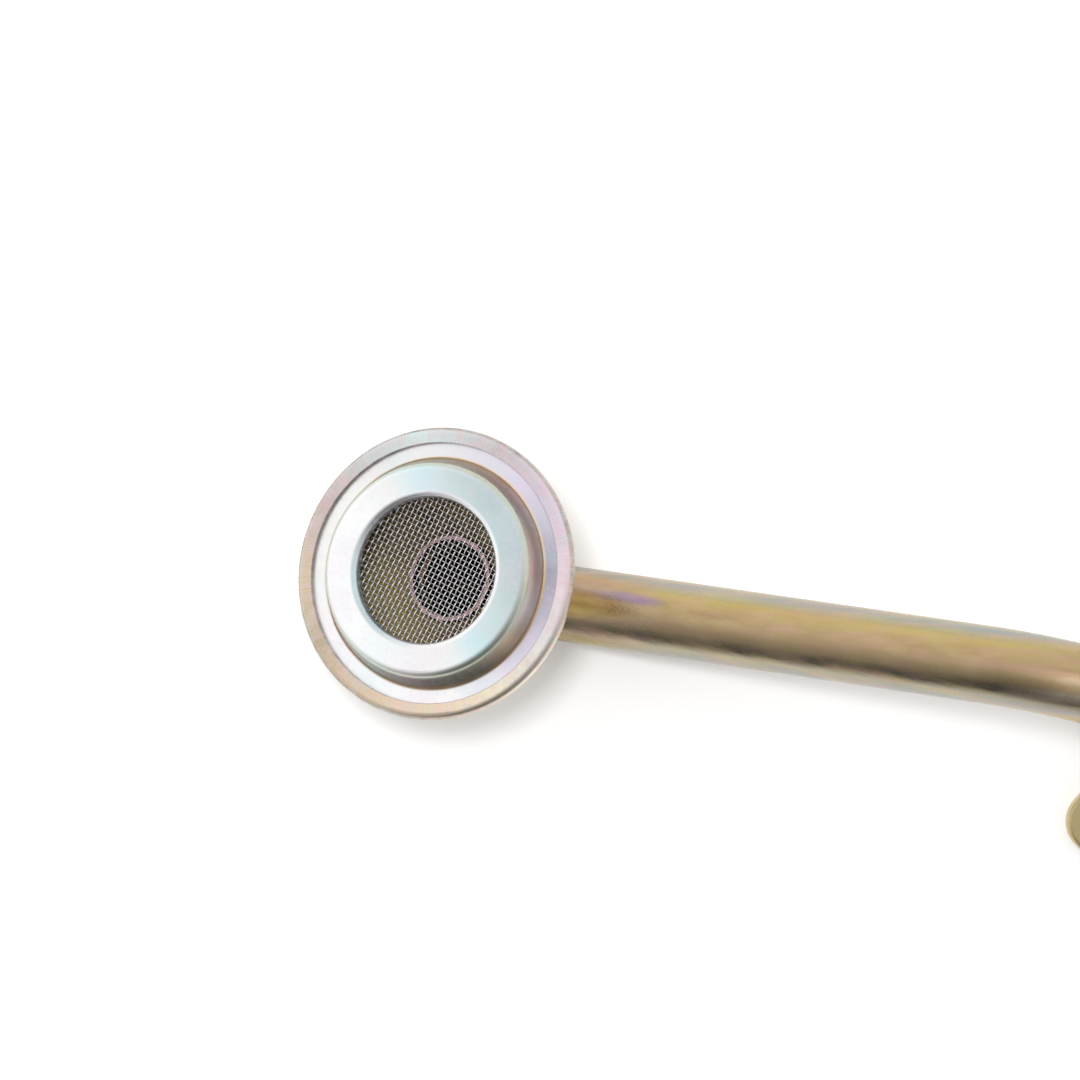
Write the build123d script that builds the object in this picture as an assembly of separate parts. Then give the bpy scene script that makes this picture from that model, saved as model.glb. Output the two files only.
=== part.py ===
from build123d import *
import math
import os

# Oil pick-up tube with a round strainer head and a two-bolt outlet flange.
# Lengths are millimetres and angles are degrees. The part lies as it comes to
# rest: the flange's sealing face and the underside of the bend behind the head
# are in the plane z = 0. The origin is the middle of the outlet, on that face.

# Tube, from the inlet in the head to the outlet in the flange
TUBE_DIAMETER = 20.0
TUBE_WALL = 1.5
INLET_STRAIGHT = 4.2
INLET_FLARE = 1.1
INLET_FLARE_LENGTH = 1.2
INLET_EDGE = 1.0
REAMED_WALL = 0.8
REAM_TAPER = 1.0
NEAR_BEND_RADIUS = 27.0
RUN_STRAIGHT = 109.5
RUN_RISE_ANGLE = 18.0
RUN_HEADING = -8.1
FAR_BEND_RADIUS = 40.0
FAR_BEND_TURN = 60.0
FAR_BEND_ROLL = 10.0
LEG_STRAIGHT = 2.0
OUTLET_BEND_RADIUS = 30.0

# Head: how its axis leans from upright, and the rolled rim
HEAD_LEAN = 21.3
HEAD_LEAN_HEADING = 159.0
RIM_DIAMETER = 75.6
CRIMP_WIDTH = 4.1
CRIMP_BEND = 0.5
SEAM_GAP = 0.02

# Bell: the rear cup, whose rim is rolled over the cap's rim
BELL_SHEET = 1.2
BELL_MOUTH_DIAMETER = 58.0
BELL_RIM_BEND = 1.8
BELL_WALL_DEPTH = 4.2
BELL_WALL_DRAFT = 12.0
BELL_FLOOR_BEND = 3.5
BELL_DEPTH = 10.4
COLLAR_BEND = 1.8
COLLAR_LENGTH = 3.4

# Cap: the front cup with the mouth
CAP_SHEET = 1.2
CAP_HEIGHT = 7.4
CAP_BASE_DIAMETER = 59.6
CAP_BASE_BEND = 0.9
CAP_FACE_DIAMETER = 54.8
CAP_EDGE_BEND = 2.0
MOUTH_DIAMETER = 37.6
LIP_BEND = 1.5
LIP_DEPTH = 3.0

# Screen: a dished wall with wire ridges on both sides and square gaps
SCREEN_WALL = 0.4
SCREEN_DISH = 0.9
SCREEN_CLEARANCE = 0.2
RIDGE_HEIGHT = 0.2
RIDGE_WIDTH = 0.5
GAP_PITCH = 3.0
GAP_SIZE = 1.9
WEAVE_TURN = -6.0

# Outlet flange
FLANGE_THICKNESS = 6.0
FLANGE_HUB_RADIUS = 16.0
FLANGE_EAR_RADIUS = 8.7
FLANGE_WAIST_RADIUS = 24.0
FLANGE_EDGE_ROUND = 1.1
BOLT_SPACING = 67.0
BOLT_HOLE_DIAMETER = 8.5
BOLT_LINE_HEADING = 61.5

# Brazed joints
BRAZE_GAP = 0.05
BRAZE_LEG_HEAD = 2.0
BRAZE_LEG_FLANGE = 3.0

tube_radius = TUBE_DIAMETER / 2
bore_radius = tube_radius - TUBE_WALL
socket_radius = tube_radius + BRAZE_GAP


def direction(heading, rise):
    """Unit vector at a heading round Z and a rise above the floor."""
    flat = math.cos(math.radians(rise))
    x = flat * math.cos(math.radians(heading))
    y = flat * math.sin(math.radians(heading))
    return Vector(x, y, math.sin(math.radians(rise)))


def tangent_length(radius, turn):
    """Distance from a bend's end to the corner of its two runs."""
    return radius * math.tan(math.radians(turn) / 2)


# The head's axis points out of the mouth, and the run leads to the far bend.
up = Vector(0, 0, 1)
head_axis = direction(HEAD_LEAN_HEADING, 90 - HEAD_LEAN)
run_axis = direction(RUN_HEADING, RUN_RISE_ANGLE)

# The far bend turns down, and by its roll a little to the side.
side_axis = run_axis.cross(up).normalized()
fall_axis = run_axis.cross(side_axis)
roll = math.radians(FAR_BEND_ROLL)
far_curl = fall_axis * math.cos(roll) + side_axis * math.sin(roll)
far_turn = math.radians(FAR_BEND_TURN)
leg_axis = run_axis * math.cos(far_turn) + far_curl * math.sin(far_turn)

near_tangent = tangent_length(NEAR_BEND_RADIUS, run_axis.get_angle(-head_axis))
far_tangent = tangent_length(FAR_BEND_RADIUS, FAR_BEND_TURN)
outlet_tangent = tangent_length(OUTLET_BEND_RADIUS, leg_axis.get_angle(-up))

# The underside of the near bend touches the floor, which sets its corner's height.
near_curl = (run_axis - head_axis * run_axis.dot(head_axis)).normalized()
near_middle_rise = near_tangent * head_axis.Z + NEAR_BEND_RADIUS * near_curl.Z
near_corner_height = NEAR_BEND_RADIUS + tube_radius - near_middle_rise

# Corners of the centre line, worked out from the near corner to the outlet.
near_to_far = run_axis * (near_tangent + RUN_STRAIGHT + far_tangent)
far_to_outlet = leg_axis * (far_tangent + LEG_STRAIGHT + outlet_tangent)
near_to_outlet = near_to_far + far_to_outlet
near_corner = Vector(-near_to_outlet.X, -near_to_outlet.Y, near_corner_height)
far_corner = near_corner + near_to_far
outlet_corner = near_corner + near_to_outlet
outlet = Vector(0, 0, 0)
inlet = near_corner + head_axis * (near_tangent + INLET_STRAIGHT)

# The head is drawn upright with height 0 at the front of the cap's rim. The
# tube's flared end stands a flare's length above the bell's floor.
bell_top = -CAP_SHEET - SEAM_GAP
bell_floor = bell_top - BELL_DEPTH
inlet_height = bell_floor + INLET_FLARE_LENGTH
flare_radius = tube_radius + INLET_FLARE
head_middle = inlet - head_axis * inlet_height
head_plane = Plane(head_middle, x_dir=up.cross(head_axis), z_dir=head_axis)

# Radii and heights where the pieces of the head meet
rim_inside = RIM_DIAMETER / 2 - BELL_SHEET
cap_rim_radius = rim_inside - CRIMP_BEND
mouth_radius = MOUTH_DIAMETER / 2
lip_end = CAP_HEIGHT - LIP_DEPTH
cap_wall_slope = (CAP_BASE_DIAMETER - CAP_FACE_DIAMETER) / 2 / CAP_HEIGHT
lip_radius = mouth_radius + CAP_SHEET
dish_radius = (lip_radius ** 2 + SCREEN_DISH ** 2) / (2 * SCREEN_DISH)
screen_middle = lip_end - SCREEN_DISH - RIDGE_HEIGHT


def rings(profile):
    """Revolve a face, drawn as radius and height, round the head's axis."""
    return revolve(Plane.XZ * profile, Axis.Z)


def sheet_cup(points, bends, sheet):
    """Cup of bent sheet, from the line of one face and the sheet on its left."""
    corners = [Vector(*point) for point in points]
    runs = [(end - start).normalized() for start, end in zip(corners, corners[1:])]
    lefts = [Vector(-run.Y, run.X) for run in runs]
    pairs = zip(lefts[:1] + lefts, lefts + lefts[-1:])
    shifts = [(before + after) * (sheet / (1 + before.dot(after))) for before, after in pairs]
    turns = [run.cross(after).Z for run, after in zip(runs, runs[1:])]
    radii = [bend - math.copysign(sheet, sheet * turn) for bend, turn in zip(bends, turns)]
    line = FilletPolyline(*corners, radius=bends)
    beside = FilletPolyline(*[corner + shift for corner, shift in zip(corners, shifts)], radius=radii)
    ends = [Line(line @ end, beside @ end).edge() for end in (0, 1)]
    return rings(make_face(line.edges() + beside.edges() + ends))


def make_cap():
    """Front cup: lip turned in, flat face, drafted wall and flat rim."""
    points = [
        (mouth_radius, lip_end),
        (mouth_radius, CAP_HEIGHT),
        (CAP_FACE_DIAMETER / 2, CAP_HEIGHT),
        (CAP_BASE_DIAMETER / 2, 0),
        (cap_rim_radius, 0),
    ]
    bends = [LIP_BEND, CAP_EDGE_BEND, CAP_BASE_BEND]
    return sheet_cup(points, bends, -CAP_SHEET)


def make_bell():
    """Rear cup: rim rolled over the cap's, short wall, coned floor and collar."""
    mouth = BELL_MOUTH_DIAMETER / 2
    wall_foot = mouth - BELL_WALL_DEPTH * math.tan(math.radians(BELL_WALL_DRAFT))
    points = [
        (RIM_DIAMETER / 2 - CRIMP_WIDTH, SEAM_GAP),
        (rim_inside, SEAM_GAP),
        (rim_inside, bell_top),
        (mouth, bell_top),
        (wall_foot, bell_top - BELL_WALL_DEPTH),
        (socket_radius, bell_floor),
        (socket_radius, bell_floor - COLLAR_LENGTH),
    ]
    bends = [CRIMP_BEND, CRIMP_BEND, BELL_RIM_BEND, BELL_FLOOR_BEND, COLLAR_BEND]
    return sheet_cup(points, bends, BELL_SHEET)


def dish(radius, low, high):
    """Dished disc between two heights over the screen's middle."""
    ball = Pos(0, 0, dish_radius) * (
        Sphere(dish_radius - low) - Sphere(dish_radius - high)
    )
    return ball & Cylinder(radius, dish_radius / 2)


def make_screen():
    """Dished wall seated on the lip's end, with crossing ridges and square gaps."""
    wall_radius = CAP_FACE_DIAMETER / 2 + LIP_DEPTH * cap_wall_slope
    edge_rise = wall_radius ** 2 / (2 * dish_radius) - SCREEN_DISH
    wall_thickness = CAP_SHEET / math.cos(math.atan(cap_wall_slope))
    radius = wall_radius - edge_rise * cap_wall_slope - wall_thickness - SCREEN_CLEARANCE
    steps = int(radius / GAP_PITCH)
    rows = [GAP_PITCH * step for step in range(-steps, steps + 1)]
    bars = Part() + [Pos(row, 0, 0) * Box(RIDGE_WIDTH, 2 * radius, 2 * radius) for row in rows]
    front_ridges = dish(radius, 0, RIDGE_HEIGHT) & bars
    back_layer = dish(radius, -SCREEN_WALL - RIDGE_HEIGHT, -SCREEN_WALL)
    back_ridges = back_layer & Rot(0, 0, 90) * bars
    places = [Vector(x, y) + Vector(GAP_PITCH, GAP_PITCH) / 2 for x in rows for y in rows]
    reach = mouth_radius - GAP_SIZE / 2
    inside = [place for place in places if place.length < reach]
    gaps = [Pos(place) * Box(GAP_SIZE, GAP_SIZE, 2 * radius) for place in inside]
    screen = dish(radius, -SCREEN_WALL, 0) + front_ridges + back_ridges - gaps
    return Pos(0, 0, screen_middle) * Rot(0, 0, WEAVE_TURN) * screen


def make_tube():
    """Tube swept along its centre line, its end reamed and flared in the bell."""
    radii = [NEAR_BEND_RADIUS, FAR_BEND_RADIUS, OUTLET_BEND_RADIUS]
    start = inlet - head_axis * INLET_FLARE_LENGTH
    path = FilletPolyline(start, near_corner, far_corner, outlet_corner, outlet, radius=radii)
    section = Plane(start, z_dir=-head_axis) * (Circle(tube_radius) - Circle(bore_radius))
    tube = sweep(section, path=path)
    flare_points = [
        (bore_radius, bell_floor),
        (tube_radius, bell_floor),
        (flare_radius, inlet_height),
        (bore_radius, inlet_height),
    ]
    ream_points = [
        (0, inlet_height),
        (flare_radius - INLET_EDGE, inlet_height),
        (tube_radius - REAMED_WALL, bell_floor - REAM_TAPER),
        (bore_radius, bell_floor - 2 * REAM_TAPER),
        (0, bell_floor - 2 * REAM_TAPER),
    ]
    flare, ream = [
        head_plane.location * rings(make_face(Polyline(*points, close=True)))
        for points in (flare_points, ream_points)
    ]
    return tube + flare - ream


def make_flange():
    """Plate with a hub, two ears and hollow waists between them."""
    ear = BOLT_SPACING / 2
    hub_reach = FLANGE_HUB_RADIUS + FLANGE_WAIST_RADIUS
    ear_reach = FLANGE_EAR_RADIUS + FLANGE_WAIST_RADIUS
    waist_x = (ear ** 2 + hub_reach ** 2 - ear_reach ** 2) / (2 * ear)
    waist_y = math.sqrt(hub_reach ** 2 - waist_x ** 2)
    plate = Circle(FLANGE_HUB_RADIUS)
    web = Polygon((0, 0), (waist_x, -waist_y), (ear, 0), (waist_x, waist_y), align=None)
    for side in (1, -1):
        plate += Rot(0, 0, 90 - 90 * side) * web
        plate += Pos(side * ear, 0) * Circle(FLANGE_EAR_RADIUS)
    for x in (waist_x, -waist_x):
        for y in (waist_y, -waist_y):
            plate -= Pos(x, y) * Circle(FLANGE_WAIST_RADIUS)
    flange = extrude(plate, FLANGE_THICKNESS)
    flange = fillet(flange.edges().group_by(Axis.Z)[-1], FLANGE_EDGE_ROUND)
    flange -= Cylinder(socket_radius, 4 * FLANGE_THICKNESS)
    for side in (1, -1):
        flange -= Pos(side * ear, 0) * Cylinder(BOLT_HOLE_DIAMETER / 2, 4 * FLANGE_THICKNESS)
    return Rot(0, 0, BOLT_LINE_HEADING) * flange


def braze_ring(leg):
    """Hollow fillet of braze round the tube, on a flat face at height 0."""
    points = [(tube_radius, 0), (socket_radius + leg, 0), (tube_radius, leg)]
    corner = make_face(Polyline(*points, close=True))
    hollow = Pos(socket_radius + leg, leg) * Circle(leg)
    return rings(corner - hollow)


def main():
    tube = make_tube()
    collar_end = head_plane.location * Pos(0, 0, bell_floor - COLLAR_LENGTH)
    head_braze = collar_end * Rot(180, 0, 0) * braze_ring(BRAZE_LEG_HEAD)
    pieces = {
        "strainer_cap": head_plane.location * make_cap(),
        "strainer_bell": head_plane.location * make_bell(),
        "wire_screen": head_plane.location * make_screen(),
        "suction_tube": tube,
        "head_braze_ring": head_braze - tube,
        "mounting_flange": make_flange(),
        "flange_braze_ring": Pos(0, 0, FLANGE_THICKNESS) * braze_ring(BRAZE_LEG_FLANGE),
    }
    os.makedirs("parts", exist_ok=True)
    for name, piece in pieces.items():
        export_step(piece, f"parts/{name}.step")


main()
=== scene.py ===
import math

import bmesh
import bpy
from mathutils import Matrix, Vector


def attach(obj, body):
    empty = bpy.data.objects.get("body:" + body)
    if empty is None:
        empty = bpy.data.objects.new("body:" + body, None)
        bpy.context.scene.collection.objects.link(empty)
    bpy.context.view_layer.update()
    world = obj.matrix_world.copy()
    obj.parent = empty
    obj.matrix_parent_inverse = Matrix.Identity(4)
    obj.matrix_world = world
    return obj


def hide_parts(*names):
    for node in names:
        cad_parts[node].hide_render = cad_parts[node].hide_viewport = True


# The strainer head: the middle of the cap's rim, and the axis out of its mouth
HEAD_MIDDLE = Vector((-0.19027, 0.03627, 0.04104))
HEAD_AXIS = Vector((-0.3391, 0.1302, 0.9317)).normalized()

# Headings in degrees: the head's own first direction, and the side of the face that is painted
# darker, as painted shade
HEAD_START_HEADING = 249.0
FACE_SHADE_HEADING = 20.0
FULL_TURN = 360.0

# Where the colours change on the head, the film's and those of the painted light and shade, as the
# start and the end of each change: millimetres from the head's axis, or along it from the front of
# the cap's rim
CAP_FACE_REACH = (-26.0, 26.0)
CAP_LIP_RADII = (20.6, 20.0)
CAP_WALL_RADII = (26.4, 27.2)
CAP_RIM_RADII = (29.9, 30.5)
CAP_SHOULDER_HEIGHTS = (5.2, 6.2)
CAP_FOOT_HEIGHTS = (1.4, 0.6)
BELL_HOLLOW_RADII = (15.0, 12.5)
BELL_RIM_RADII = (33.0, 33.6)
BELL_SEAM_RADII = (33.9, 33.75)
BELL_EDGE_RADII = (37.4, 37.6)
BELL_EDGE_HEIGHTS = (1.05, 0.75)
INLET_HEIGHTS = (-12.2, -11.8)

# The bell's inside faces up the head's axis, and its outside down; the inside is painted darker
# than the brass outside as painted shade, darker still towards the bore
BELL_SIDES = (-0.05, 0.05)
HOLLOW_SHADE = 0.6

# Lines of the rolling tool round the rim, and how strong the painted glint on their tops and the
# painted shade in their roots are
ROLLING_LINE_COUNT = 1100.0
ROLLING_LINE_EDGES = (0.3, 0.7)
ROLLING_TOP_GLINT_SHARE = 0.28
ROLLING_ROOT_SHADE_SHARE = 0.24

# Textures of the film and the grain: scales per metre, a shift that sets the second
# clouds apart from the first, and the noise values between which each one shows
MOTTLE_SCALE = 900.0
PATCH_SCALE = 90.0
CLOUD_SHIFT = (0.37, 0.11, 0.53)
FIRST_CLOUD_EDGES = (0.40, 0.65)
OTHER_CLOUD_EDGES = (0.42, 0.68)
MOTTLE_EDGES = (0.45, 0.70)
GRAIN_EDGES = (0.7, 1.3)

# Woven screen: wires over and under each other in a shallow dish
WIRE_PITCH = 0.00127
WIRE_RADIUS = 0.00018
WIRE_SIDES = 6
WIRE_STEPS_PER_PITCH = 4
SCREEN_RADIUS = 0.0264
SCREEN_HEIGHT = 0.0031
SCREEN_DISH_RADIUS = 0.22267
WEAVE_TURN = -5.0

# Ways across the family of wires painted in shade and across the lit one, how far a shaded wire's
# flank leans where it is painted dark, how much nearer than to a lit wire a place is to a shaded
# one where painted shade falls, in pitches, and how strongly it darkens
SHADED_WIRE_SIDE = Vector((0.456, 0.89, 0.0)).normalized()
LIT_WIRE_SIDE = Vector((-0.904, 0.427, 0.0)).normalized()
LIT_LEAN_SHARE = 0.5
WIRE_FLANK_SHADE_LEANS = (0.15, 0.45)
SHADED_WIRE_EDGES = (0.0, 0.1)
WIRE_SHADE_SHARE = 0.5
HALF_PITCH = 0.5

# Tube: a point of the run's centre line, and its heading seen from above
TUBE_RADIUS = 0.010
RUN_POINT = Vector((-0.15, 0.0272, 0.0))
RUN_HEADING = -8.1

# Reach across the run of the tube's bands of painted reflection and shade, and where they change
# along the run into the paler ones with painted highlights near the bends, all in tube radii, then
# the scale of the film's streaks along and across
TUBE_BAND = (-1.2, 1.2)
TUBE_NEAR_RUN = (1.9, 0.2)
TUBE_FAR_RUN = (10.4, 12.2)
STREAK_SCALE = (15.0, 0.5, 0.5)

# Soft spots on the tube, a violet one in the film and two painted highlights, ivory and pale gold:
# place along and across the run, reach along and across it, all in tube radii, then strength and
# tint
FILM_AND_GLINT_SPOTS = [
    (0.9, 0.38, 1.1, 0.17, 0.75, "violet"),
    (-0.3, -0.05, 0.5, 0.3, 0.8, "ivory"),
    (12.3, -0.12, 0.5, 0.14, 0.6, "pale_gold"),
]

MILLIMETRE = 0.001
MICRON = 0.000001

# The photograph was taken straight down, from well above the part
PHOTO_WIDTH = 1080
VIEW_CENTRE = (-0.16332, 0.04476)
VIEW_HEIGHT = 1.444
FOCAL_PIXELS = 5474
SENSOR_WIDTH = 36.0

FLOOR_SIZE = 6.0
FLOOR_GREY = 0.88
FLOOR_GLOW = 0.17

# One soft lamp, hidden from reflections, which gives the shadow
LAMP_PLACE = Vector((-0.33, 0.22, 1.7))
LAMP_SIZE = 0.28
LAMP_POWER = 12

# Studio surround: bright all round, with one dim side and its greys towards there
DIM_SIDE = Vector((-0.04, -0.84, 0.54)).normalized()
SKY_GREYS = [
    (0.0, 1.12),
    (0.60, 1.12),
    (0.70, 0.96),
    (0.78, 0.74),
    (0.85, 0.50),
    (0.92, 0.30),
    (0.96, 0.20),
    (1.0, 0.13),
]
SKYLINE = (0.22, 0.05)

# Tints of the yellow zinc film and of the light and shade painted on it, from near white to dark
# brown
PLATING_AND_PAINTED_LIGHT_TINTS = {
    "white_zinc": (252, 252, 253),
    "warm_white": (246, 246, 242),
    "ivory": (255, 247, 218),
    "pale_zinc": (234, 233, 235),
    "cream": (252, 238, 206),
    "pale_gold": (255, 231, 203),
    "ice_blue": (211, 236, 240),
    "pale_pink": (241, 214, 229),
    "pale_lilac": (222, 216, 233),
    "pale_peach": (242, 217, 206),
    "aqua": (190, 232, 232),
    "lilac": (215, 199, 227),
    "mint_grey": (196, 216, 214),
    "rose": (235, 190, 195),
    "light_gold": (244, 210, 165),
    "blue_grey": (187, 198, 203),
    "sand": (206, 192, 171),
    "sage": (189, 196, 176),
    "soft_gold": (218, 192, 148),
    "wheat": (208, 189, 156),
    "mauve_grey": (184, 178, 184),
    "dull_sand": (190, 182, 154),
    "dusty_rose": (192, 166, 166),
    "lavender_grey": (169, 166, 180),
    "copper_pink": (202, 161, 151),
    "straw": (199, 183, 128),
    "taupe": (182, 159, 140),
    "stone": (164, 162, 145),
    "tan": (183, 162, 125),
    "steel_green": (150, 159, 157),
    "brass": (189, 169, 106),
    "khaki": (165, 159, 127),
    "gold_tan": (179, 159, 113),
    "olive_gold": (177, 162, 100),
    "violet": (142, 121, 170),
    "light_bronze": (175, 146, 112),
    "bronze": (168, 143, 106),
    "grey_khaki": (150, 142, 124),
    "mid_grey": (134, 130, 124),
    "dull_gold": (152, 137, 98),
    "dark_khaki": (138, 130, 108),
    "brown_bronze": (154, 122, 90),
    "olive": (147, 132, 68),
    "dark_stone": (117, 112, 97),
    "blue_slate": (96, 92, 110),
    "slate_brown": (97, 90, 76),
    "dark_olive": (110, 88, 51),
    "umber": (93, 68, 44),
    "dark_umber": (74, 63, 52),
}

# The cap's colours, which are painted light and shade: its face painted from the lit side to the
# shaded one, the others lighter and darker by heading, with painted highlights on the wall
CAP_FACE = [
    (0.0, "white_zinc"),
    (0.2, "white_zinc"),
    (0.45, "warm_white"),
    (0.62, "ice_blue"),
    (0.8, "mint_grey"),
    (1.0, "blue_grey"),
]
CAP_LIP = [
    (0.0, "white_zinc"),
    (0.27, "white_zinc"),
    (0.4, "pale_zinc"),
    (0.5, "mint_grey"),
    (0.63, "blue_grey"),
    (0.76, "warm_white"),
    (1.0, "white_zinc"),
]
CAP_WALL = [
    (0.0, "pale_peach"),
    (0.06, "sand"),
    (0.15, "taupe"),
    (0.25, "khaki"),
    (0.5, "taupe"),
    (0.75, "mid_grey"),
    (0.83, "stone"),
    (0.89, "cream"),
    (0.94, "warm_white"),
    (1.0, "pale_peach"),
]
CAP_RIM = [
    (0.0, "lavender_grey"),
    (0.12, "pale_lilac"),
    (0.25, "pale_zinc"),
    (0.4, "warm_white"),
    (0.62, "white_zinc"),
    (0.78, "white_zinc"),
    (0.88, "pale_lilac"),
    (1.0, "lavender_grey"),
]

# The bell's colours by heading, painted light and shade over its film: its rolled rim lighter and
# darker round its turn, the rim's outer edge in painted shade with a painted highlight, and the
# inside in painted shade
BELL_RIM = [
    (0.0, "pale_pink"),
    (0.08, "lilac"),
    (0.17, "mauve_grey"),
    (0.26, "ice_blue"),
    (0.42, "dusty_rose"),
    (0.5, "soft_gold"),
    (0.58, "tan"),
    (0.72, "light_gold"),
    (0.84, "cream"),
    (0.92, "pale_zinc"),
    (1.0, "pale_pink"),
]
BELL_EDGE = [
    (0.0, "grey_khaki"),
    (0.125, "mid_grey"),
    (0.25, "dark_stone"),
    (0.5, "slate_brown"),
    (0.72, "dark_khaki"),
    (0.82, "wheat"),
    (0.875, "cream"),
    (0.94, "sand"),
    (1.0, "grey_khaki"),
]
BELL_INSIDE = [
    (0.0, "dark_olive"),
    (0.15, "dark_olive"),
    (0.3, "umber"),
    (0.42, "dark_olive"),
    (0.5, "olive"),
    (0.62, "olive"),
    (0.75, "dark_olive"),
    (1.0, "dark_olive"),
]

# The tube's colours across the run, from its right side to its left: bands of painted reflection
# and painted shade over the gold film, the near and far ones with painted highlights
TUBE_MIDDLE = [
    (0.06, "gold_tan"),
    (0.1, "steel_green"),
    (0.18, "stone"),
    (0.25, "slate_brown"),
    (0.29, "dark_stone"),
    (0.36, "tan"),
    (0.6, "bronze"),
    (0.75, "brass"),
    (0.87, "steel_green"),
    (0.94, "gold_tan"),
]
TUBE_NEAR = [
    (0.06, "gold_tan"),
    (0.16, "dull_gold"),
    (0.21, "dark_stone"),
    (0.25, "dark_umber"),
    (0.29, "dark_stone"),
    (0.36, "dull_sand"),
    (0.54, "cream"),
    (0.67, "taupe"),
    (0.8, "light_bronze"),
    (0.92, "steel_green"),
]
TUBE_FAR = [
    (0.06, "gold_tan"),
    (0.1, "steel_green"),
    (0.17, "grey_khaki"),
    (0.21, "dark_stone"),
    (0.25, "sand"),
    (0.3, "cream"),
    (0.36, "light_gold"),
    (0.46, "light_gold"),
    (0.56, "bronze"),
    (0.8, "gold_tan"),
    (0.92, "steel_green"),
]


def film(name):
    """Linear colour of a named tint, which is given in the usual 0 to 255 values."""
    parts = [value / 255 for value in PLATING_AND_PAINTED_LIGHT_TINTS[name]]
    linear = [p / 12.92 if p < 0.04045 else ((p + 0.055) / 1.055) ** 2.4 for p in parts]
    return (*linear, 1.0)


def head_turn():
    """Turn from the head's own directions to the part's."""
    across = Vector((0, 0, 1)).cross(HEAD_AXIS).normalized()
    along = HEAD_AXIS.cross(across)
    return Matrix((across, along, HEAD_AXIS)).transposed()


def weave_turn():
    """Turn of the weave within the head's directions."""
    return Matrix.Rotation(math.radians(WEAVE_TURN), 3, "Z")


# Node helpers


def add_node(tree, kind, values=None, **settings):
    """Add a node, with a value or a linked socket for each named input."""
    node = tree.nodes.new(kind)
    for name, value in settings.items():
        setattr(node, name, value)
    for socket, value in (values or {}).items():
        if isinstance(value, bpy.types.NodeSocket):
            tree.links.new(value, node.inputs[socket])
        else:
            node.inputs[socket].default_value = value
    return node


def maths(tree, operation, first, second=0.0):
    """Result of a sum on one or two values."""
    return add_node(tree, "ShaderNodeMath", {0: first, 1: second}, operation=operation).outputs[0]


def mix(tree, factor, first, second):
    """Mix of two colours."""
    inputs = {0: factor, 6: first, 7: second}
    return add_node(tree, "ShaderNodeMix", inputs, data_type="RGBA").outputs[2]


def ramp(tree, factor, stops):
    """Colour along a value, from (position, tint name or colour) stops."""
    node = add_node(tree, "ShaderNodeValToRGB", {0: factor})
    marks = node.color_ramp.elements
    while len(marks) < len(stops):
        marks.new(0.5)
    for mark, (position, colour) in zip(marks, stops):
        mark.position = position
        mark.color = film(colour) if isinstance(colour, str) else colour
    return node.outputs[0]


def spread(tree, value, limits):
    """Value moved from the range between two limits onto 0 to 1, and held there."""
    inputs = {0: value, 1: limits[0], 2: limits[1]}
    return add_node(tree, "ShaderNodeMapRange", inputs).outputs[0]


def change(tree, value, limits, before, after):
    """Colour that changes as a value goes from one limit to the other."""
    return mix(tree, spread(tree, value, limits), before, after)


def dot(tree, first, second):
    """Scalar product of two vectors."""
    node = add_node(tree, "ShaderNodeVectorMath", {0: first, 1: second}, operation="DOT_PRODUCT")
    return node.outputs["Value"]


def split(tree, vector):
    """The three parts of a vector."""
    return add_node(tree, "ShaderNodeSeparateXYZ", {0: vector}).outputs


def measured(tree, place, origin, turn, scale):
    """Place measured from an origin, in turned directions and in units of a scale."""
    inputs = {"Vector": place, "Location": origin, "Rotation": turn, "Scale": scale}
    return add_node(tree, "ShaderNodeMapping", inputs, vector_type="TEXTURE").outputs[0]


def noise(tree, **values):
    """Value of a noise texture, whose inputs are given by name."""
    inputs = {name.replace("_", " ").title(): value for name, value in values.items()}
    return add_node(tree, "ShaderNodeTexNoise", inputs).outputs[0]


def new_group(name, inputs, outputs):
    """Empty node group with its named sockets."""
    tree = bpy.data.node_groups.new(name, "ShaderNodeTree")
    for label, kind, default in inputs:
        socket = tree.interface.new_socket(label, in_out="INPUT", socket_type=kind)
        socket.default_value = default
    for label, kind in outputs:
        tree.interface.new_socket(label, in_out="OUTPUT", socket_type=kind)
    start = tree.nodes.new("NodeGroupInput").outputs
    end = tree.nodes.new("NodeGroupOutput").inputs
    return tree, start, end


def use_group(tree, group, values):
    """Outputs of a node group that is placed with its own values."""
    return add_node(tree, "ShaderNodeGroup", values, node_tree=group).outputs


# Groups that the plated pieces share


def make_head_place():
    """Radius, height and heading of a point on the head, the lengths in millimetres."""
    tree, start, end = new_group(
        "head_place",
        [("Place", "NodeSocketVector", (0, 0, 0))],
        [(name, "NodeSocketFloat") for name in ("Radius", "Height", "Turn")],
    )
    scale = (MILLIMETRE, MILLIMETRE, MILLIMETRE)
    turned = measured(tree, start["Place"], HEAD_MIDDLE, head_turn().to_euler(), scale)
    across, along, height = split(tree, turned)
    flat = add_node(tree, "ShaderNodeCombineXYZ", {0: across, 1: along}).outputs[0]
    radius = add_node(tree, "ShaderNodeVectorMath", {0: flat}, operation="LENGTH")
    angle = maths(tree, "ARCTAN2", along, across)
    share = maths(tree, "DIVIDE", angle, 2 * math.pi)
    heading = maths(tree, "ADD", share, HEAD_START_HEADING / FULL_TURN)
    tree.links.new(radius.outputs["Value"], end["Radius"])
    tree.links.new(height, end["Height"])
    tree.links.new(maths(tree, "FRACT", heading), end["Turn"])
    return tree


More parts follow.
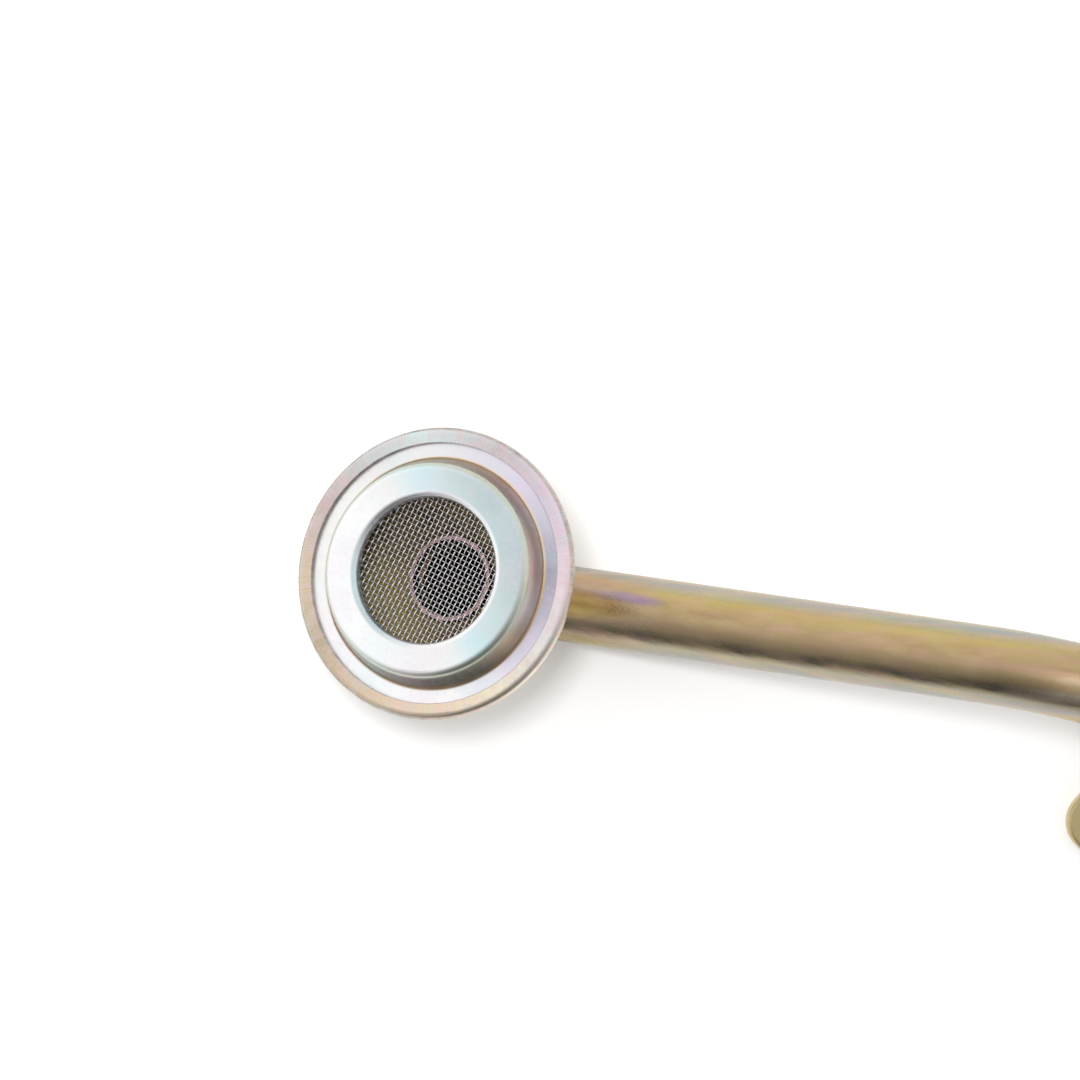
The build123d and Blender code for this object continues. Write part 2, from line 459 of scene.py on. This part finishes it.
def make_film_clouds():
    """Three tints of the plating's film, in soft clouds with a fine mottle."""
    tree, start, end = new_group(
        "film_clouds",
        [
            ("Place", "NodeSocketVector", (0, 0, 0)),
            ("Base", "NodeSocketColor", film("gold_tan")),
            ("Second", "NodeSocketColor", film("sage")),
            ("Third", "NodeSocketColor", film("dusty_rose")),
            ("Cloud Scale", "NodeSocketFloat", 60.0),
            ("Second Share", "NodeSocketFloat", 0.5),
            ("Third Share", "NodeSocketFloat", 0.3),
            ("Mottle", "NodeSocketFloat", 0.2),
        ],
        [("Color", "NodeSocketColor")],
    )
    place = start["Place"]
    shift = add_node(tree, "ShaderNodeVectorMath", {0: place, 1: CLOUD_SHIFT}).outputs[0]
    first = noise(tree, vector=place, scale=start["Cloud Scale"])
    other = noise(tree, vector=shift, scale=start["Cloud Scale"])
    fine = noise(tree, vector=place, scale=MOTTLE_SCALE, detail=3.0)
    second = maths(tree, "MULTIPLY", spread(tree, first, FIRST_CLOUD_EDGES), start["Second Share"])
    third = maths(tree, "MULTIPLY", spread(tree, other, OTHER_CLOUD_EDGES), start["Third Share"])
    speck = maths(tree, "MULTIPLY", spread(tree, fine, MOTTLE_EDGES), start["Mottle"])
    colour = mix(tree, second, start["Base"], start["Second"])
    colour = mix(tree, third, colour, start["Third"])
    colour = mix(tree, speck, colour, start["Third"])
    tree.links.new(colour, end["Color"])
    return tree


def make_satin_grain():
    """Fine grain of satin plating: roughness and height."""
    tree, start, end = new_group(
        "satin_grain",
        [
            ("Place", "NodeSocketVector", (0, 0, 0)),
            ("Scale", "NodeSocketFloat", 1500.0),
            ("Smooth", "NodeSocketFloat", 0.25),
            ("Rough", "NodeSocketFloat", 0.4),
        ],
        [("Roughness", "NodeSocketFloat"), ("Height", "NodeSocketFloat")],
    )
    grain = noise(tree, vector=start["Place"], scale=start["Scale"], detail=4.0)
    patches = noise(tree, vector=start["Place"], scale=PATCH_SCALE)
    share = spread(tree, maths(tree, "ADD", grain, patches), GRAIN_EDGES)
    span = maths(tree, "SUBTRACT", start["Rough"], start["Smooth"])
    rough = maths(tree, "ADD", maths(tree, "MULTIPLY", share, span), start["Smooth"])
    tree.links.new(rough, end["Roughness"])
    tree.links.new(grain, end["Height"])
    return tree


def make_rolling_lines():
    """Fine lines across the rolled rim, left by the rolling tool."""
    tree, start, end = new_group(
        "rolling_lines",
        [
            ("Turn", "NodeSocketFloat", 0.0),
            ("Count", "NodeSocketFloat", ROLLING_LINE_COUNT),
        ],
        [("Mask", "NodeSocketFloat")],
    )
    along = maths(tree, "MULTIPLY", start["Turn"], start["Count"])
    inputs = {"W": along, "Scale": 1.0, "Detail": 3.0}
    lines = add_node(tree, "ShaderNodeTexNoise", inputs, noise_dimensions="1D").outputs[0]
    tree.links.new(spread(tree, lines, ROLLING_LINE_EDGES), end["Mask"])
    return tree


# Materials


def new_skin(name):
    """Material with one metal shader, and its place on the part."""
    material = bpy.data.materials.new(name)
    material.use_nodes = True
    tree = material.node_tree
    tree.nodes["Principled BSDF"].inputs["Metallic"].default_value = 1.0
    place = tree.nodes.new("ShaderNodeTexCoord").outputs["Object"]
    return material, tree, place


def cloudy(tree, groups, place, tints, scale, shares):
    """Base tint under clouds of two more, whose shares are given with the mottle's."""
    values = {"Place": place, "Cloud Scale": scale}
    values.update(zip(("Base", "Second", "Third"), tints))
    values.update(zip(("Second Share", "Third Share", "Mottle"), shares))
    return use_group(tree, groups["film_clouds"], values)[0]


def satin(tree, groups, place, smooth, rough):
    """Roughness and height of the grain, between two roughnesses."""
    values = {"Place": place, "Smooth": smooth, "Rough": rough}
    return use_group(tree, groups["satin_grain"], values)


def finish_skin(tree, colour, roughness, height, depth):
    """Link colour, roughness and a bump of the given depth in metres."""
    skin = tree.nodes["Principled BSDF"].inputs
    bump = add_node(tree, "ShaderNodeBump", {"Height": height, "Distance": depth, "Strength": 1.0})
    tree.links.new(colour, skin["Base Color"])
    tree.links.new(roughness, skin["Roughness"])
    tree.links.new(bump.outputs[0], skin["Normal"])


def cap_finish(groups):
    """Painted light and shade on the cap's film: white to mint across the face, taupe and gold on
    the wall with a painted highlight at its foot, lavender on the rim.
    """
    material, tree, place = new_skin("cap_plating")
    radius, height, turn = use_group(tree, groups["head_place"], {"Place": place})
    # The face goes from white on its lit side to mint on its shaded side: painted light and shade
    slant = maths(tree, "SUBTRACT", turn, FACE_SHADE_HEADING / FULL_TURN)
    slant = maths(tree, "COSINE", maths(tree, "MULTIPLY", slant, 2 * math.pi))
    slant = maths(tree, "MULTIPLY", slant, radius)
    face = ramp(tree, spread(tree, slant, CAP_FACE_REACH), CAP_FACE)
    # The lip, rim and wall are painted lighter and darker by heading: painted light and shade
    lip = ramp(tree, turn, CAP_LIP)
    rim = ramp(tree, turn, CAP_RIM)
    wall = ramp(tree, turn, CAP_WALL)
    # A sage band at the wall's shoulder, and gold at its foot as a painted highlight
    wall = change(tree, height, CAP_SHOULDER_HEIGHTS, wall, film("sage"))
    wall = change(tree, height, CAP_FOOT_HEIGHTS, wall, film("soft_gold"))
    base = change(tree, radius, CAP_LIP_RADII, face, lip)
    base = change(tree, radius, CAP_WALL_RADII, base, wall)
    base = change(tree, radius, CAP_RIM_RADII, base, rim)
    tints = (base, film("aqua"), film("pale_pink"))
    colour = cloudy(tree, groups, place, tints, scale=70.0, shares=(0.22, 0.2, 0.2))
    rough, grain = satin(tree, groups, place, smooth=0.28, rough=0.40)
    finish_skin(tree, colour, rough, grain, 10 * MICRON)
    return material


def bell_finish(groups):
    """Gold film on the bell, with painted light and shade that turn round the rolled rim, and
    painted shade inside and on the rim's outer edge.
    """
    material, tree, place = new_skin("bell_plating")
    radius, height, turn = use_group(tree, groups["head_place"], {"Place": place})
    # The inside is painted shade: dark olive and umber by heading, darker still towards the bore
    hollow = maths(tree, "MULTIPLY", spread(tree, radius, BELL_HOLLOW_RADII), HOLLOW_SHADE)
    inside = mix(tree, hollow, ramp(tree, turn, BELL_INSIDE), film("umber"))
    facing = tree.nodes.new("ShaderNodeTexCoord").outputs["Normal"]
    sheet = change(tree, dot(tree, facing, HEAD_AXIS), BELL_SIDES, film("brass"), inside)
    on_rim = spread(tree, radius, BELL_RIM_RADII)
    # The rolled rim is painted lighter and darker by heading: painted light and shade
    base = mix(tree, on_rim, sheet, ramp(tree, turn, BELL_RIM))
    seam = maths(tree, "MULTIPLY", on_rim, spread(tree, radius, BELL_SEAM_RADII))
    base = mix(tree, seam, base, film("blue_slate"))
    # The rim's outer edge is painted shade, with a painted highlight at one heading
    low = spread(tree, height, BELL_EDGE_HEIGHTS)
    outer = maths(tree, "MAXIMUM", low, spread(tree, radius, BELL_EDGE_RADII))
    outer = maths(tree, "MULTIPLY", outer, on_rim)
    base = mix(tree, outer, base, ramp(tree, turn, BELL_EDGE))
    second = mix(tree, on_rim, film("olive_gold"), film("mint_grey"))
    third = mix(tree, on_rim, film("brown_bronze"), film("rose"))
    tints = (base, second, third)
    colour = cloudy(tree, groups, place, tints, scale=320.0, shares=(0.36, 0.34, 0.34))
    lines = use_group(tree, groups["rolling_lines"], {"Turn": turn})[0]
    # The lines' tops are painted lighter as a painted glint and raised by the bump, their roots
    # painted darker as painted shade
    lit_tops = maths(tree, "MULTIPLY", lines, on_rim)
    lit_tops = maths(tree, "MULTIPLY", lit_tops, ROLLING_TOP_GLINT_SHARE)
    shaded_roots = maths(tree, "MULTIPLY", maths(tree, "SUBTRACT", 1.0, lines), on_rim)
    shaded_roots = maths(tree, "MULTIPLY", shaded_roots, ROLLING_ROOT_SHADE_SHARE)
    colour = mix(tree, lit_tops, colour, film("warm_white"))
    colour = mix(tree, shaded_roots, colour, film("stone"))
    rough, grain = satin(tree, groups, place, smooth=0.28, rough=0.42)
    finish_skin(tree, colour, rough, maths(tree, "ADD", grain, lit_tops), 10 * MICRON)
    return material


def along_run(tree, place, scale):
    """Place turned so that X follows the tube's run, with a scale for each way."""
    return measured(tree, place, RUN_POINT, (0, 0, math.radians(RUN_HEADING)), scale)


def tube_finish(groups):
    """Gold and tan film in long streaks, under bands of painted reflection and shade across the
    run, with painted highlights and a mauve spot in the film near the bends.
    """
    material, tree, place = new_skin("tube_plating")
    run, aside = split(tree, along_run(tree, place, (TUBE_RADIUS, TUBE_RADIUS, TUBE_RADIUS)))[:2]
    # Bands across the run are painted reflection and painted shade, paler with painted highlights
    # near the head and at the far bend
    band = spread(tree, aside, TUBE_BAND)
    middle, near, far = [ramp(tree, band, stops) for stops in (TUBE_MIDDLE, TUBE_NEAR, TUBE_FAR)]
    base = change(tree, run, TUBE_NEAR_RUN, middle, near)
    base = change(tree, run, TUBE_FAR_RUN, base, far)
    # The ivory and pale gold spots are painted highlights, the violet one a patch in the film
    for (spot_run, spot_aside, length, width, strength, tint) in FILM_AND_GLINT_SPOTS:
        off_run = maths(tree, "DIVIDE", maths(tree, "SUBTRACT", run, spot_run), length)
        off_aside = maths(tree, "DIVIDE", maths(tree, "SUBTRACT", aside, spot_aside), width)
        off_run = maths(tree, "POWER", off_run, 2.0)
        off_aside = maths(tree, "POWER", off_aside, 2.0)
        shown = spread(tree, maths(tree, "ADD", off_run, off_aside), (1.0, 0.0))
        base = mix(tree, maths(tree, "MULTIPLY", shown, strength), base, film(tint))
    height = use_group(tree, groups["head_place"], {"Place": place})["Height"]
    base = change(tree, height, INLET_HEIGHTS, base, film("rose"))
    streaks = along_run(tree, place, STREAK_SCALE)
    tints = (base, film("straw"), film("copper_pink"))
    colour = cloudy(tree, groups, streaks, tints, scale=160.0, shares=(0.32, 0.32, 0.16))
    rough, grain = satin(tree, groups, place, smooth=0.24, rough=0.36)
    finish_skin(tree, colour, rough, grain, 5 * MICRON)
    return material


def flange_finish(groups):
    """Straw film with sand and pink clouds on the flange."""
    material, tree, place = new_skin("flange_plating")
    tints = (film("straw"), film("sand"), film("copper_pink"))
    colour = cloudy(tree, groups, place, tints, scale=70.0, shares=(0.4, 0.3, 0.2))
    rough, grain = satin(tree, groups, place, smooth=0.3, rough=0.45)
    finish_skin(tree, colour, rough, grain, 10 * MICRON)
    return material


def braze_finish(groups):
    """Brassy braze under the plating, a little rougher than the sheet."""
    material, tree, place = new_skin("braze_plating")
    tints = (film("brass"), film("stone"), film("brown_bronze"))
    colour = cloudy(tree, groups, place, tints, scale=220.0, shares=(0.5, 0.5, 0.3))
    rough, grain = satin(tree, groups, place, smooth=0.35, rough=0.6)
    finish_skin(tree, colour, rough, grain, 30 * MICRON)
    return material


def wire_finish(groups):
    """Bright drawn wire, with one family painted darker and its flanks painted dark, as painted
    shade.
    """
    material, tree, place = new_skin("bright_wire")
    facing = tree.nodes.new("ShaderNodeTexCoord").outputs["Normal"]
    # Flanks of the wires are painted dark by which way they lean: painted shade
    sides = [dot(tree, facing, side) for side in (SHADED_WIRE_SIDE, LIT_WIRE_SIDE)]
    shaded_lean, lit_lean = [maths(tree, "ABSOLUTE", side) for side in sides]
    lit_lean = maths(tree, "MULTIPLY", lit_lean, LIT_LEAN_SHARE)
    flank_shade_lean = maths(tree, "SUBTRACT", shaded_lean, lit_lean)
    turn = (head_turn() @ weave_turn()).to_euler()
    rows = measured(tree, place, HEAD_MIDDLE, turn, (WIRE_PITCH, WIRE_PITCH, WIRE_PITCH))
    rows = split(tree, rows)[:2]
    # One family of wires is painted darker where it lies nearer than the other: painted shade
    off_shaded, off_lit = [maths(tree, "PINGPONG", row, HALF_PITCH) for row in rows]
    shaded_family = spread(tree, maths(tree, "SUBTRACT", off_lit, off_shaded), SHADED_WIRE_EDGES)
    shaded_family = maths(tree, "MULTIPLY", shaded_family, WIRE_SHADE_SHARE)
    base = mix(tree, shaded_family, film("white_zinc"), film("slate_brown"))
    base = change(tree, flank_shade_lean, WIRE_FLANK_SHADE_LEANS, base, film("dark_umber"))
    tints = (base, film("pale_lilac"), film("mauve_grey"))
    colour = cloudy(tree, groups, place, tints, scale=300.0, shares=(0.15, 0.1, 0.05))
    rough, grain = satin(tree, groups, place, smooth=0.25, rough=0.4)
    finish_skin(tree, colour, rough, grain, 2 * MICRON)
    return material


# Woven screen


def add_wire(shape, row, turned):
    """One wire of the screen in a row, crimped over and under those it crosses."""
    step = WIRE_PITCH / WIRE_STEPS_PER_PITCH
    offset = row * WIRE_PITCH
    reach = int(math.sqrt(SCREEN_RADIUS ** 2 - offset ** 2) / step)
    wire = bmesh.new()
    bmesh.ops.create_cone(
        wire,
        cap_ends=True,
        segments=WIRE_SIDES,
        radius1=WIRE_RADIUS,
        radius2=WIRE_RADIUS,
        depth=2 * reach * step,
        matrix=Matrix.Rotation(math.pi / 2, 4, "Y"),
    )
    lengthwise = [edge for edge in wire.edges if edge.calc_length() > 2 * WIRE_RADIUS]
    bmesh.ops.subdivide_edges(wire, edges=lengthwise, cuts=2 * reach - 1)
    side = -1 if turned else 1
    for vert in wire.verts:
        wave = math.cos(math.pi * (vert.co.x / WIRE_PITCH + row))
        vert.co.z += side * WIRE_RADIUS * wave
    move = Matrix.Translation((0, offset, 0))
    if turned:
        move = Matrix.Translation((offset, 0, 0)) @ Matrix.Rotation(math.pi / 2, 4, "Z")
    bmesh.ops.transform(wire, matrix=move, verts=wire.verts)
    mesh = bpy.data.meshes.new("wire")
    wire.to_mesh(mesh)
    wire.free()
    shape.from_mesh(mesh)
    bpy.data.meshes.remove(mesh)


def add_piece(name, shape, material):
    """Piece at the origin from a finished bmesh, with its material."""
    mesh = bpy.data.meshes.new(name)
    shape.to_mesh(mesh)
    shape.free()
    mesh.materials.append(material)
    piece = bpy.data.objects.new(name, mesh)
    bpy.context.scene.collection.objects.link(piece)
    return piece


def make_screen(material):
    """The woven screen, dished and seated in the head."""
    shape = bmesh.new()
    rows = int(SCREEN_RADIUS / WIRE_PITCH)
    for row in range(-rows, rows + 1):
        for turned in (False, True):
            add_wire(shape, row, turned)
    for vert in shape.verts:
        vert.co.z += SCREEN_HEIGHT + (vert.co.x ** 2 + vert.co.y ** 2) / (2 * SCREEN_DISH_RADIUS)
    turn = (head_turn() @ weave_turn()).to_4x4()
    bmesh.ops.transform(shape, matrix=Matrix.Translation(HEAD_MIDDLE) @ turn, verts=shape.verts)
    for face in shape.faces:
        face.smooth = len(face.verts) == 4
    screen = add_piece("woven_screen", shape, material)
    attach(screen, "root")
    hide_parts("wire_screen")


# Floor, light and camera


def add_floor():
    """A white floor under the flange, which keeps the part's shadow."""
    material = bpy.data.materials.new("floor_paper")
    material.use_nodes = True
    tree = material.node_tree
    skin = tree.nodes["Principled BSDF"].inputs
    skin["Base Color"].default_value = (FLOOR_GREY, FLOOR_GREY, FLOOR_GREY, 1)
    skin["Roughness"].default_value = 1.0
    skin["Specular IOR Level"].default_value = 0.0
    skin["Emission Color"].default_value = (1, 1, 1, 1)
    ray = tree.nodes.new("ShaderNodeLightPath").outputs
    seen = maths(tree, "MAXIMUM", ray["Is Camera Ray"], ray["Is Glossy Ray"])
    tree.links.new(maths(tree, "MULTIPLY", seen, FLOOR_GLOW), skin["Emission Strength"])
    shape = bmesh.new()
    bmesh.ops.create_grid(shape, x_segments=1, y_segments=1, size=FLOOR_SIZE / 2)
    floor = add_piece("floor", shape, material)


def add_sky():
    """Soft studio surround: bright all round but for one dim side above the skyline."""
    world = bpy.data.worlds.new("studio")
    bpy.context.scene.world = world
    world.use_nodes = True
    tree = world.node_tree
    towards = tree.nodes.new("ShaderNodeTexCoord").outputs["Generated"]
    facing = spread(tree, dot(tree, towards, DIM_SIDE), (-1.0, 1.0))
    level = ramp(tree, facing, [(share, (grey, grey, grey, 1)) for share, grey in SKY_GREYS])
    colour = change(tree, split(tree, towards)[2], SKYLINE, level, (1, 1, 1, 1))
    tree.links.new(colour, tree.nodes["Background"].inputs["Color"])


def add_camera():
    """The photograph's camera, looking straight down."""
    lens = bpy.data.cameras.new("camera")
    lens.sensor_width = SENSOR_WIDTH
    lens.lens = FOCAL_PIXELS * SENSOR_WIDTH / PHOTO_WIDTH
    camera = bpy.data.objects.new("camera", lens)
    camera.location = (VIEW_CENTRE[0], VIEW_CENTRE[1], VIEW_HEIGHT)
    bpy.context.scene.collection.objects.link(camera)
    bpy.context.scene.camera = camera


def add_lamp():
    """A soft square lamp that points at the part."""
    light = bpy.data.lights.new("shadow_lamp", "AREA")
    light.energy = LAMP_POWER
    light.size = LAMP_SIZE
    lamp = bpy.data.objects.new("shadow_lamp", light)
    lamp.location = LAMP_PLACE
    aim = Vector((VIEW_CENTRE[0], VIEW_CENTRE[1], 0)) - LAMP_PLACE
    lamp.rotation_euler = aim.to_track_quat("-Z", "Y").to_euler()
    lamp.visible_glossy = False
    bpy.context.scene.collection.objects.link(lamp)


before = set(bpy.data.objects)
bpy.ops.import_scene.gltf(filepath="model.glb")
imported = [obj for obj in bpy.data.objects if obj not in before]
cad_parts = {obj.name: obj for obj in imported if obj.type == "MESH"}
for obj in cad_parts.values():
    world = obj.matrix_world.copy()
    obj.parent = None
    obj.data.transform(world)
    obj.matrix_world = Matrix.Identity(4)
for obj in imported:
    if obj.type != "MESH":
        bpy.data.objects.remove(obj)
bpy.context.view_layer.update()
bpy.context.scene.view_settings.view_transform = "Standard"
add_floor()
add_sky()
add_camera()
add_lamp()

shared = {
    "head_place": make_head_place(),
    "film_clouds": make_film_clouds(),
    "satin_grain": make_satin_grain(),
    "rolling_lines": make_rolling_lines(),
}
braze = braze_finish(shared)
finishes = {
    "strainer_cap": cap_finish(shared),
    "strainer_bell": bell_finish(shared),
    "suction_tube": tube_finish(shared),
    "mounting_flange": flange_finish(shared),
    "head_braze_ring": braze,
    "flange_braze_ring": braze,
}
for name, finish in finishes.items():
    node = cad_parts[name]
    for slot in node.material_slots:
        slot.material = finish
make_screen(wire_finish(shared))
